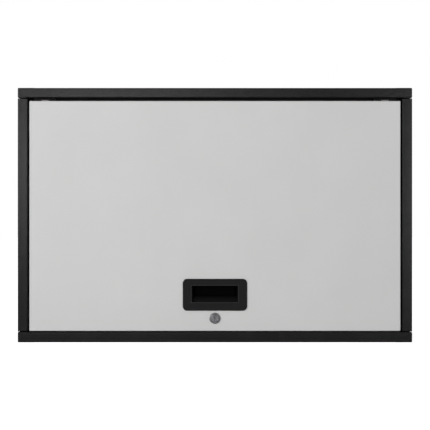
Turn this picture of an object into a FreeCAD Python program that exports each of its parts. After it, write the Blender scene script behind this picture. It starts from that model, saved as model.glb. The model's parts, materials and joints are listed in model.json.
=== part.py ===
import FreeCAD, Part
import math
import os

from FreeCAD import Vector

# Steel wall cabinet with one flip-up door, in millimetres.
# +X is right, +Y is towards the wall, +Z is up.
# The origin is the middle of the underside, halfway between the lock's face and the wall.

# Body
width = 711.0
height = 458.5
depth = 305.0
sheet = 1.0
bend = 1.0  # inside radius of every fold
top_lip = 18.0
bottom_lip = 18.5
side_face = 18.0
stop_gap = 2.5  # between the door and the stop lips
stop_lip = 10.0
side_hem = 10.0
seam_flange = 15.0
seam_gap = 0.5
corner_slot = 0.6
relief_hole = 1.6
overrun = 0.5  # how far a cutter runs past what it cuts

# Door
door_sheet = 0.8
door_bend = 0.8
door_thickness = 20.0
door_gap_side = 3.0
door_gap_top = 5.5
door_gap_bottom = 2.0
door_open = 90.0
pan_flange = 12.0
pan_gap = 0.1
stiffener_width = 60.0
stiffener_crown = 30.0
stiffener_end_gap = 12.0

# Pull
pull_width = 116.0
pull_height = 57.5
pull_corner = 8.0
pull_proud = 2.2
pull_edge = 1.2
pull_rise = 65.3  # middle of the bezel above the bottom edge of the door
mouth_width = 84.0
mouth_height = 30.0
mouth_rise = 1.4  # middle of the mouth above the middle of the bezel
mouth_corner = 2.5
pull_back_gap = 1.8  # between the cup and the inner skin
pull_wall = 1.6
pull_side_draft = 7.0
ledge_foot = 2.4
ledge_height = 9.0
ledge_depth = 6.5
ledge_slope = 2.5
pocket_rise = 7.0
grip_thickness = 6.0
cutout_gap = 0.6
cutout_corner = 1.5
snap_width = 10.0
snap_offset = 30.0
snap_rise = 1.2
snap_length = 4.8
snap_tip = 0.2

# Cam lock
lock_rise = 23.0  # axis above the bottom edge of the door
lock_head = 19.6
lock_proud = 2.5
lock_chamfer = 0.8
lock_barrel = 16.0
lock_flats = 13.6
lock_bore = 12.0
lock_bore_fit = 0.05
lock_end_show = 3.0  # barrel behind its nut
lock_hole_gap = 0.4
lock_nut = 24.0
lock_nut_height = 3.5
plug_recess = 0.4
key_slot_height = 8.0
key_slot_width = 1.8
key_slot_depth = 12.0
cam_square = 7.0
cam_thickness = 2.0
cam_width = 13.0
cam_floor_gap = 2.0  # between the lip of the bottom panel and the tip of the turned cam
cam_tip_width = 10.4
cam_tip_corner = 3.2
cam_heel_corner = 5.8
cam_running_gap = 0.4
cam_screw_head = 9.0
cam_screw_height = 2.4
cam_washer = 11.0
cam_washer_thickness = 0.8
screw_edge = 0.8

# Hinges
hinge_inset = 49.0
knuckle_setback = 0.05  # knuckle behind the front face
hinge_sheet = 1.05
pin_diameter = 2.5
pin_fit = 0.05
pin_head = 3.7
pin_head_height = 0.6
knuckle = 12.4
knuckle_gap = 0.3
leaf_back_gap = 2.0  # between the back edge of the leaves and the back of the door
crank_start = 3.0
crank_end = 4.6
rivet_spacing = 24.0
rivet_setback = 12.5
rivet_head = 4.6
rivet_head_height = 1.0
rivet_shank = 2.5

# Gas struts, with each stud's place given behind and below the door's pivot
strut_side_gap = 4.0  # between the tube and the front frame's inner plane
door_stud_back = 40.0
door_stud_down = 26.0
body_stud_back = 190.0
body_stud_down = 112.0
ball = 8.0
ball_fit = 0.1
stud_neck = 5.0
stud_flange = 10.0
stud_flange_height = 2.0
stud_chamfer = 0.5
lower_stud_length = 11.0
upper_stud_length = 12.0
socket = 12.6
socket_width = 10.0
socket_neck = 9.0
socket_length = 16.0
socket_mouth = 7.0
cylinder_diameter = 15.0
cylinder_wall = 1.2
cylinder_nose = 1.5
cylinder_end = 4.0
guide_length = 11.0
rod_diameter = 6.0
rod_fit = 0.05
rod_show = 12.9  # rod between the tube and its socket, door closed
piston_length = 8.0
piston_rest_gap = 6.0
bracket_sheet = 2.0
bracket_width = 26.0
bracket_foot = 14.0
bracket_margin = 2.0  # plate beyond the flange of a stud
door_bracket_height = 42.0
door_bracket_foot = 20.0
stud_to_plate = 0.3
stud_nut = 10.0
stud_nut_height = 4.0
thread_show = 1.5
bracket_screw_spacing = 22.0
door_screw_length = 4.8

# Wall fixing
wall_hole = 9.0
wall_spacing_x = 406.4
wall_spacing_z = 330.0
rail_web = 40.0
rail_flange = 10.0
rail_sheet = 1.5
rail_end_gap = 26.0

# Screws and bumpers
screw_head = 9.0
screw_head_height = 2.4
screw_shank = 4.8
screw_length = 9.0
screw_hole_gap = 0.15
side_screw_inset = 60.0
bumper = 8.0
bumper_gap = 0.3
bumper_edge = 0.55
bumper_inset = 87.5  # middle of a bumper from the side of the frame

# Planes and places worked out from the sizes
half = width / 2
front = lock_proud - (depth + lock_proud) / 2
back = front + depth
frame_half = half - side_face
frame_top = height - top_lip
frame_bottom = bottom_lip
outer_bend = bend + sheet
stop_front = front + door_thickness + stop_gap
seam_centre = half - sheet - (seam_flange - sheet) / 2
panel_front = back - sheet
return_edge = half - seam_flange

door_half = frame_half - door_gap_side
door_top = frame_top - door_gap_top
door_bottom = frame_bottom + door_gap_bottom
door_back = front + door_thickness

pull_centre_z = door_bottom + pull_rise
mouth_low = pull_centre_z + mouth_rise - mouth_height / 2
mouth_high = mouth_low + mouth_height
pull_depth = door_thickness - door_sheet - pull_back_gap

lock_z = door_bottom + lock_rise
lock_length = door_thickness + lock_nut_height + lock_end_show
cam_front = front + lock_length + cam_running_gap
cam_back = cam_front + cam_thickness
cam_length = lock_z - frame_bottom - cam_floor_gap

knuckle_radius = pin_diameter / 2 + pin_fit + hinge_sheet
pivot_y = front + knuckle_setback + knuckle_radius
pivot_z = frame_top - door_gap_top / 2
hinge_width = 3 * knuckle + 2 * knuckle_gap

door_stud = Vector(0, pivot_y + door_stud_back, pivot_z - door_stud_down)
body_stud = Vector(0, pivot_y + body_stud_back, pivot_z - body_stud_down)
strut_axis = (door_stud - body_stud).normalize()
strut_length = (door_stud - body_stud).Length
strut_plane = frame_half - strut_side_gap - cylinder_diameter / 2
cylinder_length = strut_length - 2 * socket_length - rod_show
body_bracket_face = strut_plane + lower_stud_length
door_bracket_face = strut_plane - upper_stud_length
door_bracket_middle = door_stud.z + stud_flange - door_bracket_height / 2

wall_centre_z = height / 2
wall_rows = (wall_centre_z - wall_spacing_z / 2, wall_centre_z + wall_spacing_z / 2)


# Outlines and plain solids

def outline(points, radii):
    """Closed wire through points that lie in one plane, with each corner rounded by its radius."""
    edges = []
    starts = []
    ends = []
    arcs = []
    for i, corner in enumerate(points):
        radius = radii[i]
        if radius == 0:
            starts.append(corner)
            ends.append(corner)
            arcs.append(None)
            continue
        before = (points[i - 1] - corner).normalize()
        after = (points[(i + 1) % len(points)] - corner).normalize()
        angle = before.getAngle(after)
        setback = radius / math.tan(angle / 2)
        middle = (before + after).normalize()
        reach = radius / math.sin(angle / 2) - radius
        starts.append(corner + before * setback)
        ends.append(corner + after * setback)
        arcs.append(corner + middle * reach)
    for i in range(len(points)):
        if arcs[i] is not None:
            edges.append(Part.Arc(starts[i], arcs[i], ends[i]).toShape())
        following = starts[(i + 1) % len(points)]
        if (following - ends[i]).Length > 1e-6:
            edges.append(Part.LineSegment(ends[i], following).toShape())
    return Part.Wire(edges)


def prism(points, radii, sweep):
    """Solid from a rounded outline swept along a vector."""
    return Part.Face(outline(points, radii)).extrude(sweep)


def block(x0, x1, y0, y1, z0, z1):
    """Box between two corners."""
    return Part.makeBox(x1 - x0, y1 - y0, z1 - z0, Vector(x0, y0, z0))


def offset_corner(before, corner, after, distance):
    """Corner of a path that runs beside another one, at a distance to its left."""
    run_in = (corner - before).normalize()
    run_out = (after - corner).normalize()
    normal_in = Vector(-run_in.y, run_in.x, 0)
    normal_out = Vector(-run_out.y, run_out.x, 0)
    return corner + (normal_in + normal_out) * (distance / (1 + normal_in.dot(normal_out)))


def folded(path, thickness, inner, place, sweep):
    """Folded sheet: the path is one face of the strip in (u, v), and its thickness lies to the left."""
    path = [Vector(u, v, 0) for u, v in path]
    last = len(path) - 1
    near_radii = [0] * (last + 1)
    far_radii = [0] * (last + 1)
    far = []
    for i, corner in enumerate(path):
        if i == 0 or i == last:
            run = (path[1] - path[0]) if i == 0 else (path[last] - path[last - 1])
            run = run.normalize()
            far.append(corner + Vector(-run.y, run.x, 0) * thickness)
            continue
        far.append(offset_corner(path[i - 1], corner, path[i + 1], thickness))
        turn = (corner - path[i - 1]).cross(path[i + 1] - corner).z
        near_radii[i] = inner + thickness if turn > 0 else inner
        far_radii[i] = inner if turn > 0 else inner + thickness
    points = [place(p.x, p.y) for p in path + far[::-1]]
    return prism(points, near_radii + far_radii[::-1], sweep)


def rounded_box(x0, x1, y0, y1, z0, z1, radius, axis):
    """Box whose four edges along one axis are rounded."""
    if axis == "y":
        points = [Vector(x0, y0, z0), Vector(x1, y0, z0), Vector(x1, y0, z1), Vector(x0, y0, z1)]
        sweep = Vector(0, y1 - y0, 0)
    else:
        points = [Vector(x0, y0, z0), Vector(x1, y0, z0), Vector(x1, y1, z0), Vector(x0, y1, z0)]
        sweep = Vector(0, 0, z1 - z0)
    return prism(points, [radius] * 4, sweep)


def rod(radius, start, direction, length):
    """Cylinder from a point along a direction."""
    return Part.makeCylinder(radius, length, start, direction)


def hexagon(across_flats, start, direction, length):
    """Hexagonal bar from a point along a direction, with a flat facing a fixed side."""
    direction = Vector(direction).normalize()
    side = direction.cross(Vector(0, 0, 1))
    if side.Length < 0.1:
        side = Vector(1, 0, 0)
    side = side.normalize()
    up = direction.cross(side)
    radius = across_flats / math.sqrt(3)
    turns = [math.radians(60 * i) for i in range(6)]
    points = [start + side * (radius * math.cos(a)) + up * (radius * math.sin(a)) for a in turns]
    return prism(points, [0] * 6, direction * length)


def turned(profile, start, direction):
    """Solid of revolution from (distance along, radius) pairs, standing on a point along a direction."""
    points = [Vector(radius, 0, along) for along, radius in profile]
    points.append(points[0])
    solid = Part.Face(Part.makePolygon(points)).revolve(Vector(0, 0, 0), Vector(0, 0, 1), 360)
    solid.Placement = FreeCAD.Placement(start, FreeCAD.Rotation(Vector(0, 0, 1), Vector(direction)))
    return solid


def turned_round(profile, centre, radius, base, way):
    """Solid of revolution along X whose profile is closed by an arc round a point of its axis."""
    corners = [Vector(away, 0, along) for along, away in profile]
    centre = Vector(0, 0, centre)
    outward = (corners[0] + corners[-1]) / 2 - centre
    middle = centre + outward.normalize() * radius
    edges = [Part.LineSegment(a, b).toShape() for a, b in zip(corners, corners[1:])]
    edges.append(Part.Arc(corners[-1], middle, corners[0]).toShape())
    solid = Part.Face(Part.Wire(edges)).revolve(Vector(0, 0, 0), Vector(0, 0, 1), 360)
    solid.Placement = FreeCAD.Placement(base, FreeCAD.Rotation(Vector(0, 0, 1), Vector(way, 0, 0)))
    return solid


def pan_screw(seat, direction, length=screw_length):
    """Pan-head screw whose head bears at the seat and whose shank points along the direction."""
    profile = [
        (-screw_head_height, 0),
        (-screw_head_height, screw_head / 2 - screw_edge),
        (-screw_head_height + screw_edge, screw_head / 2),
        (0, screw_head / 2),
        (0, screw_shank / 2),
        (length, screw_shank / 2),
        (length, 0),
    ]
    return turned(profile, seat, direction)


def screw_hole(seat, direction, depth_through):
    """Drill for a screw hole, starting a little before its seat."""
    start = seat - direction * overrun
    return rod(screw_shank / 2 + screw_hole_gap, start, direction, depth_through + 2 * overrun)


def mirror_x(shape):
    """The same piece on the other side of the cabinet."""
    return shape.mirror(Vector(0, 0, 0), Vector(1, 0, 0))


# Screw places shared by the screws and by the sheets that they pass through

def side_screw_places():
    """Seats of the screws that hold a side panel to both trays, as (seat, direction)."""
    rows = (front + side_screw_inset, (front + back) / 2, back - side_screw_inset)
    places = []
    for y in rows:
        places.append((Vector(seam_centre, y, frame_top - sheet), Vector(0, 0, 1)))
        places.append((Vector(seam_centre, y, frame_bottom + sheet), Vector(0, 0, -1)))
    return places


def hinge_rivet_places(side):
    """X and Y of the rivets of one leaf."""
    centre = side * (half - hinge_inset)
    y = front + rivet_setback
    return [(centre - rivet_spacing / 2, y), (centre + rivet_spacing / 2, y)]


def drill_seats(shape, places):
    """Sheet with a clearance hole at each screw."""
    for seat, direction in places:
        shape = shape.cut(screw_hole(seat, direction, 2 * sheet))
    return shape


# Cabinet

def tray(flat, sign, lip):
    """Top or bottom panel: a tray with returned lips in front and at the sides, and the door's stop lip."""
    def yz(x):
        return lambda y, down: Vector(x, y, flat + sign * down)

    def xz(y):
        return lambda x, down: Vector(x, y, flat + sign * down)

    ring = [
        (stop_front - outer_bend, lip),
        (front, lip),
        (front, 0),
        (back, 0),
    ]
    body = folded(ring, sheet, bend, yz(-half), Vector(width, 0, 0))
    skirt = [(half - 2 * seam_flange, 0), (half, 0), (half, lip), (half - seam_flange, lip)]
    skirt_shape = folded(skirt, sheet, bend, xz(front), Vector(0, panel_front - front, 0))
    body = body.fuse([skirt_shape, mirror_x(skirt_shape)])
    low = min(flat, flat + sign * lip)
    high = max(flat, flat + sign * lip)
    body = body.common(rounded_box(-half, half, front, back, low, high, outer_bend, "y"))
    body = body.common(rounded_box(-half, half, front, back + outer_bend, low, high, outer_bend, "z"))
    stop_half = frame_half - seam_gap
    stop = [(stop_front, lip + stop_lip), (stop_front, lip), (front + outer_bend, lip)]
    stop_shape = folded(stop, sheet, bend, yz(-stop_half), Vector(2 * stop_half, 0, 0))
    body = body.fuse(stop_shape)
    return body.removeSplitter()


def corner_reliefs(flat, sign, lip):
    """Mitre slots and relief holes that part the returns of a tray at its front corners."""
    level = flat + sign * lip
    start = level - sign * (sheet + overrun)
    rise = Vector(0, 0, sign * (sheet + 2 * overrun))
    inner = Vector(return_edge, front + seam_flange, start)
    outer = Vector(half - outer_bend, front + outer_bend, start)
    run = (outer - inner).normalize()
    across = Vector(run.y, -run.x, 0) * (corner_slot / 2)
    mouth = inner - run * overrun
    points = [mouth + across, outer + across, outer - across, mouth - across]
    slot = prism(points, [0] * 4, rise)
    hole = rod(relief_hole / 2, outer, rise, rise.Length)
    return [slot, hole, mirror_x(slot), mirror_x(hole)]


def both_screw_rows(way):
    """Screw places of one tray on both sides of the cabinet."""
    right = [(seat, direction) for seat, direction in side_screw_places() if direction.z == way]
    return right + [(Vector(-seat.x, seat.y, seat.z), direction) for seat, direction in right]


def top_panel():
    shape = tray(height, -1, top_lip).cut(corner_reliefs(height, -1, top_lip))
    shape = drill_seats(shape, both_screw_rows(1))
    for side in (-1, 1):
        for x, y in hinge_rivet_places(side):
            start = Vector(x, y, frame_top - overrun)
            shape = shape.cut(rod(rivet_shank / 2, start, Vector(0, 0, 1), sheet + 2 * overrun))
    return shape


def bottom_panel():
    shape = tray(0, 1, bottom_lip).cut(corner_reliefs(0, 1, bottom_lip))
    return drill_seats(shape, both_screw_rows(-1))


def side_panel():
    """Right side panel: a C with a boxed front flange, and a seam flange at each end."""
    def xy(x, y):
        return Vector(x, y, frame_bottom)

    wrap = [
        (frame_half + side_hem, stop_front),
        (frame_half, stop_front),
        (frame_half, front),
        (half, front),
        (half, panel_front),
        (return_edge, panel_front),
    ]
    body = folded(wrap, sheet, bend, xy, Vector(0, 0, frame_top - frame_bottom))
    seam_start = stop_front + seam_gap
    seam_run = Vector(0, panel_front - sheet - seam_gap - seam_start, 0)
    for level, sign in ((frame_top, -1), (frame_bottom, 1)):
        def xz(x, away, level=level, sign=sign):
            return Vector(x, seam_start, level + sign * away)

        flange = [(return_edge, 0), (half, 0), (half, seam_flange)]
        body = body.fuse(folded(flange, sheet, bend, xz, seam_run))
    clear = frame_half - outer_bend
    limit = rounded_box(clear, half, front, back, frame_bottom, frame_top, outer_bend, "y")
    body = body.common(limit).removeSplitter()
    return drill_seats(body, side_screw_places())


def back_panel():
    """Back panel over the whole rear, with a flange turned forward under the top and over the floor."""
    plate = rounded_box(-half, half, panel_front, back, 0, height, outer_bend, "y")
    plate = plate.common(block(-half, half, panel_front, back, sheet, height - sheet))
    flange_half = return_edge - seam_gap
    for level, sign in ((height - sheet, -1), (sheet, 1)):
        def yz(y, away, level=level, sign=sign):
            return Vector(-flange_half, y, level + sign * away)

        flange = [(back - seam_flange, 0), (back, 0), (back, seam_flange)]
        folded_edge = folded(flange, sheet, bend, yz, Vector(2 * flange_half, 0, 0))
        low = level - outer_bend
        high = level + outer_bend
        strip = block(-flange_half, flange_half, panel_front - overrun, back + overrun, low, high)
        plate = plate.cut(strip).fuse(folded_edge)
    return plate.removeSplitter().cut(wall_drills())


def wall_drills():
    """The four wall-fixing holes as drills through the rails and the back panel."""
    drills = []
    for x in (-wall_spacing_x / 2, wall_spacing_x / 2):
        for z in wall_rows:
            start = Vector(x, panel_front - rail_sheet - overrun, z)
            depth_through = rail_sheet + sheet + 2 * overrun
            drills.append(rod(wall_hole / 2, start, Vector(0, 1, 0), depth_through))
    return drills


def rail(level):
    """Channel that carries the wall bolts, its web flat against the back panel."""
    reach = half - rail_end_gap

    def yz(y, z):
        return Vector(-reach, y, level + z)

    tip = panel_front - rail_flange
    path = [
        (tip, -rail_web / 2),
        (panel_front, -rail_web / 2),
        (panel_front, rail_web / 2),
        (tip, rail_web / 2),
    ]
    channel = folded(path, rail_sheet, rail_sheet, yz, Vector(2 * reach, 0, 0))
    return channel.cut(wall_drills())


def body_screws():
    """Screws of the seams between the side panels and the trays."""
    right = [pan_screw(seat, way) for seat, way in side_screw_places()]
    return Part.Compound(right + [mirror_x(screw) for screw in right])


def door_bumper(side):
    """Rubber disc on the front of the bottom stop lip, where the door comes to rest."""
    radius = bumper / 2
    thickness = stop_front - bumper_gap - door_back
    profile = [
        (0, 0),
        (0, radius),
        (thickness - bumper_edge, radius),
        (thickness, radius - bumper_edge),
        (thickness, 0),
    ]
    seat = Vector(side * (frame_half - bumper_inset), stop_front, frame_bottom + stop_lip / 2)
    return turned(profile, seat, Vector(0, -1, 0))


# Hinges

def hinge_pin(side):
    """Pin with a flat head at each end."""
    reach = hinge_width / 2
    radius = pin_diameter / 2
    head = pin_head / 2
    profile = [
        (-reach - pin_head_height, 0),
        (-reach - pin_head_height, head),
        (-reach, head),
        (-reach, radius),
        (reach, radius),
        (reach, head),
        (reach + pin_head_height, head),
        (reach + pin_head_height, 0),
    ]
    return turned(profile, Vector(side * (half - hinge_inset), pivot_y, pivot_z), Vector(1, 0, 0))


def hinge_leaf(side, upward, knuckles, notches):
    """Cranked leaf with its rolled knuckles; upward is 1 for the cabinet's leaf and -1 for the door's."""
    centre = side * (half - hinge_inset)
    low = centre - hinge_width / 2
    seat = pivot_z + upward * door_gap_top / 2
    tangent = pivot_z + upward * knuckle_radius
    drop = -upward * hinge_sheet
    top = [
        (door_back - leaf_back_gap, seat),
        (pivot_y + crank_end, seat),
        (pivot_y + crank_start, tangent),
        (pivot_y, tangent),
    ]
    under = [(y, z + drop) for y, z in top[::-1]]
    points = [Vector(low, y, z) for y, z in top + under]
    leaf = prism(points, [0] * len(points), Vector(hinge_width, 0, 0))
    clear = knuckle_radius + knuckle_gap
    for place in notches:
        x = centre + place * (knuckle + knuckle_gap)
        reach = knuckle / 2 + knuckle_gap
        corner = Vector(x - reach, pivot_y - clear, pivot_z - clear)
        leaf = leaf.cut(Part.makeBox(2 * reach, 2 * clear, 2 * clear, corner))
    axis = Vector(1, 0, 0)
    for place in knuckles:
        start = Vector(centre + place * (knuckle + knuckle_gap) - knuckle / 2, pivot_y, pivot_z)
        leaf = leaf.fuse(rod(knuckle_radius, start, axis, knuckle))
    bore = Vector(low - overrun, pivot_y, pivot_z)
    leaf = leaf.cut(rod(pin_diameter / 2 + pin_fit, bore, axis, hinge_width + 2 * overrun))
    for x, y in hinge_rivet_places(side):
        start = Vector(x, y, seat - hinge_sheet - overrun)
        leaf = leaf.cut(rod(rivet_shank / 2, start, Vector(0, 0, 1), 2 * (hinge_sheet + overrun)))
    return leaf.removeSplitter()


def hinge_rivets(side, upward):
    """Rivets of one leaf, their heads on the leaf and their tails behind the sheets that they hold."""
    seat = pivot_z + upward * (door_gap_top / 2 - hinge_sheet)
    grip = hinge_sheet + (sheet if upward > 0 else 2 * door_sheet + pan_gap)
    edge = rivet_head_height / 2
    profile = [
        (-rivet_head_height, 0),
        (-rivet_head_height, rivet_head / 2 - edge),
        (0, rivet_head / 2),
        (0, rivet_shank / 2),
        (grip, rivet_shank / 2),
        (grip, rivet_head / 2 - edge),
        (grip + edge, rivet_head / 2 - edge),
        (grip + edge, 0),
    ]
    way = Vector(0, 0, upward)
    return Part.Compound([turned(profile, Vector(x, y, seat), way) for x, y in hinge_rivet_places(side)])


# Door

def pan_edges(solid, face_y):
    """Edges round the face of a box at a given Y, and the four that run back from it."""
    level = [e for e in solid.Edges if e.BoundBox.YLength < 1e-6 and abs(e.BoundBox.YMin - face_y) < 1e-6]
    return level + [e for e in solid.Edges if e.BoundBox.YLength > 1e-6]


def door_outer_skin():
    """Front tray of the door, folded back on four sides, cut out for the pull, the lock and the rivets."""
    radius = door_bend + door_sheet
    solid = block(-door_half, door_half, front, door_back, door_bottom, door_top)
    solid = solid.makeFillet(radius, pan_edges(solid, front))
    t = door_sheet
    hollow = block(-door_half + t, door_half - t, front + t, door_back, door_bottom + t, door_top - t)
    hollow = hollow.makeFillet(door_bend, pan_edges(hollow, front + t))
    skin = solid.cut(hollow)
    skin = skin.cut(pull_cutout())
    skin = skin.cut(lock_hole(front, door_sheet))
    for side in (-1, 1):
        skin = skin.cut(door_rivet_drills(side))
    return skin


def door_rivet_drills(side):
    """Holes for the rivets of the door's leaf through the top edges of both skins."""
    low = door_top - 3 * door_sheet - pan_gap
    length = 4 * door_sheet + pan_gap
    way = Vector(0, 0, 1)
    return [rod(rivet_shank / 2, Vector(x, y, low), way, length) for x, y in hinge_rivet_places(side)]


def door_inner_skin():
    """Back pan of the door, its flanges turned forward inside the front tray."""
    reach = door_half - door_sheet - pan_gap
    low = door_bottom + door_sheet + pan_gap
    high = door_top - door_sheet - pan_gap
    start = door_back - pan_flange
    solid = block(-reach, reach, start, door_back, low, high)
    solid = solid.makeFillet(door_bend + door_sheet, pan_edges(solid, door_back))
    t = door_sheet
    hollow = block(-reach + t, reach - t, start, door_back - t, low + t, high - t)
    hollow = hollow.makeFillet(door_bend, pan_edges(hollow, door_back - t))
    skin = solid.cut(hollow).cut(lock_hole(door_back - door_sheet, door_sheet))
    for side in (-1, 1):
        for seat in door_bracket_screw_seats(side):
            hole = rod(screw_shank / 2, seat, Vector(0, -1, 0), bracket_sheet + door_sheet + overrun)
            skin = skin.cut(hole)
        skin = skin.cut(door_rivet_drills(side))
    return skin


def door_stiffener(side):
    """Upright hat channel between the two skins of the door."""
    low = door_bottom + stiffener_end_gap
    run = Vector(0, 0, door_top - stiffener_end_gap - low)
    centre = side * door_half / 2

    def xy(x, y):
        return Vector(centre + x, y, low)

    crown = front + door_sheet
    foot = door_back - 2 * door_sheet
    edge = stiffener_width / 2
    web = stiffener_crown / 2
    path = [(-edge, foot), (-web, foot), (-web, crown), (web, crown), (web, foot), (edge, foot)]
    return folded(path, door_sheet, door_bend, xy, run)


# Pull

def pull_cavity(grow):
    """Hollow of the pull, or with grow the block that its shell is cut from."""
    mouth = front - pull_proud
    back_edge = front + pull_depth - pull_wall + grow
    low = mouth_low - grow
    top = mouth_high + pocket_rise + grow
    grip_back = mouth + grip_thickness
    foot = (back_edge, low + ledge_foot)
    roof = (back_edge, top)
    if grow:
        points = [(front, low), foot, roof, (front, top)]
    else:
        points = [
            (mouth - overrun, low),
            (mouth, low),
            foot,
            roof,
            (grip_back, top),
            (grip_back, mouth_high),
            (mouth - overrun, mouth_high),
        ]
    wide = mouth_width / 2 + grow
    narrow = wide - pull_side_draft
    side_view = prism([Vector(-wide, y, z) for y, z in points], [0] * len(points), Vector(2 * wide, 0, 0))
    z0 = low - overrun
    plan = [
        Vector(-wide, mouth - overrun, z0),
        Vector(wide, mouth - overrun, z0),
        Vector(wide, front, z0),
        Vector(narrow, back_edge, z0),
        Vector(-narrow, back_edge, z0),
        Vector(-wide, front, z0),
    ]
    corner = mouth_corner + grow
    radii = [0, 0, 0, corner, corner, 0]
    return side_view.common(prism(plan, radii, Vector(0, 0, top + overrun - z0)))


def pull_ledge():
    """Ramp at the foot of the recess that turns the fingers up into the pocket."""
    foot = front - pull_proud + ledge_depth
    floor = front + pull_depth - pull_wall / 2
    low = mouth_low - pull_wall / 2
    top = mouth_low + ledge_foot + ledge_height
    points = [
        (foot, low),
        (foot, mouth_low + ledge_foot),
        (foot + ledge_slope, top),
        (floor, top),
        (floor, low),
    ]
    reach = mouth_width / 2 + pull_wall / 2
    radii = [0, ledge_slope / 2, ledge_slope / 2, 0, 0]
    ledge = prism([Vector(-reach, y, z) for y, z in points], radii, Vector(2 * reach, 0, 0))
    return ledge.common(pull_cavity(pull_wall))


def pull_cutout():
    """Opening of the door's front skin behind the pull's bezel."""
    low = mouth_low - pull_wall - cutout_gap
    high = mouth_high + pocket_rise + pull_wall + cutout_gap
    reach = mouth_width / 2 + pull_wall + cutout_gap
    start = front - overrun
    end = front + door_sheet + overrun
    return rounded_box(-reach, reach, start, end, low, high, cutout_corner, "y")


def door_pull():
    """Moulded pull: a bezel on the door's face and a cup with a finger pocket behind its upper edge."""
    low = pull_centre_z - pull_height / 2
    high = pull_centre_z + pull_height / 2
    reach = pull_width / 2
    bezel = rounded_box(-reach, reach, front - pull_proud, front, low, high, pull_corner, "y")
    rim = [e for e in bezel.Edges if e.BoundBox.YMax < front - pull_proud + 1e-6]
    bezel = bezel.makeFillet(pull_edge, rim)
    shape = bezel.fuse(pull_cavity(pull_wall)).cut(pull_cavity(0)).fuse(pull_ledge())
    snap_y = front + door_sheet + cutout_gap
    for x in (-snap_offset, snap_offset):
        for base, sign in ((mouth_low - pull_wall, -1), (mouth_high + pocket_rise + pull_wall, 1)):
            root = base - sign * pull_wall / 2
            points = [
                (snap_y, root),
                (snap_y, base + sign * (snap_rise + cutout_gap)),
                (snap_y + snap_length, base + sign * snap_tip),
                (snap_y + snap_length, root),
            ]
            side_view = [Vector(x - snap_width / 2, y, z) for y, z in points]
            shape = shape.fuse(prism(side_view, [0] * 4, Vector(snap_width, 0, 0)))
    return shape.removeSplitter()


# Cam lock

def flatted_bar(diameter, flats, start, length):
    """Bar on the axis of the lock with a flat on its left and on its right."""
    bar = rod(diameter / 2, Vector(0, start, lock_z), Vector(0, 1, 0), length)
    low = lock_z - diameter
    high = lock_z + diameter
    return bar.common(block(-flats / 2, flats / 2, start, start + length, low, high))


def lock_hole(start, thickness):
    """Hole through a plate, with two flats that keep the lock from turning."""
    diameter = lock_barrel + lock_hole_gap
    flats = lock_flats + lock_hole_gap
    return flatted_bar(diameter, flats, start - overrun, thickness + 2 * overrun)


def lock_housing():
    """Housing with its bright head, flatted barrel and bore."""
    face = front - lock_proud
    head = [
        (0, 0),
        (0, lock_head / 2 - lock_chamfer),
        (lock_chamfer, lock_head / 2),
        (lock_proud, lock_head / 2),
        (lock_proud, 0),
    ]
    way = Vector(0, 1, 0)
    shape = turned(head, Vector(0, face, lock_z), way)
    shape = shape.fuse(flatted_bar(lock_barrel, lock_flats, front - overrun, lock_length + overrun))
    bore_length = lock_proud + lock_length + 2 * overrun
    bore = rod(lock_bore / 2, Vector(0, face - overrun, lock_z), way, bore_length)
    return shape.cut(bore).removeSplitter()


def lock_nut_piece():
    """Hexagon nut that clamps the housing against the inner skin."""
    way = Vector(0, 1, 0)
    nut = hexagon(lock_nut, Vector(0, door_back, lock_z), way, lock_nut_height)
    return nut.cut(lock_hole(door_back, lock_nut_height))


def lock_plug():
    """Plug with its key slot and the square that carries the cam."""
    way = Vector(0, 1, 0)
    face = front - lock_proud + plug_recess
    radius = lock_bore / 2 - lock_bore_fit
    body = rod(radius, Vector(0, face, lock_z), way, cam_front - face)
    side = cam_square / 2
    square = block(-side, side, cam_front - overrun, cam_back, lock_z - side, lock_z + side)
    reach = key_slot_height / 2
    slit = key_slot_width / 2
    slot = block(-slit, slit, face - overrun, face + key_slot_depth, lock_z - reach, lock_z + reach)
    ward = block(0, 2 * slit, face - overrun, face + key_slot_depth, lock_z - slit, lock_z + slit)
    shape = body.fuse(square).cut(slot).cut(ward)
    return shape.removeSplitter()


def lock_cam():
    """Flat cam, lying level at rest and pointing down behind the stop lip when locked."""
    heel = cam_width / 2
    tip = cam_tip_width / 2
    points = [
        Vector(-heel, cam_front, lock_z - heel),
        Vector(cam_length, cam_front, lock_z - tip),
        Vector(cam_length, cam_front, lock_z + tip),
        Vector(-heel, cam_front, lock_z + heel),
    ]
    radii = [cam_heel_corner, cam_tip_corner, cam_tip_corner, cam_heel_corner]
    cam = prism(points, radii, Vector(0, cam_thickness, 0))
    side = cam_square / 2
    start = cam_front - overrun
    end = cam_back + overrun
    return cam.cut(block(-side, side, start, end, lock_z - side, lock_z + side))


def cam_fastening():
    """Washer and screw that hold the cam on the plug."""
    way = Vector(0, 1, 0)
    washer = rod(cam_washer / 2, Vector(0, cam_back, lock_z), way, cam_washer_thickness)
    head = cam_back + cam_washer_thickness
    profile = [
        (0, 0),
        (0, cam_screw_head / 2),
        (cam_screw_height - screw_edge, cam_screw_head / 2),
        (cam_screw_height, cam_screw_head / 2 - screw_edge),
        (cam_screw_height, 0),
    ]
    return washer, turned(profile, Vector(0, head, lock_z), way)


# Gas struts, made for the right side

def ball_stud(centre, way, length):
    """Ball on a neck that stands on a flange; way points along X from the flange to the ball."""
    radius = ball / 2
    neck_end = length - math.sqrt(radius ** 2 - (stud_neck / 2) ** 2)
    profile = [
        (length + radius, 0),
        (0, 0),
        (0, stud_flange / 2),
        (stud_flange_height - stud_chamfer, stud_flange / 2),
        (stud_flange_height, stud_flange / 2 - stud_chamfer),
        (stud_flange_height, stud_neck / 2),
        (neck_end, stud_neck / 2),
    ]
    base = centre - Vector(way * length, 0, 0)
    return turned_round(profile, length, radius, base, way)


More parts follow.
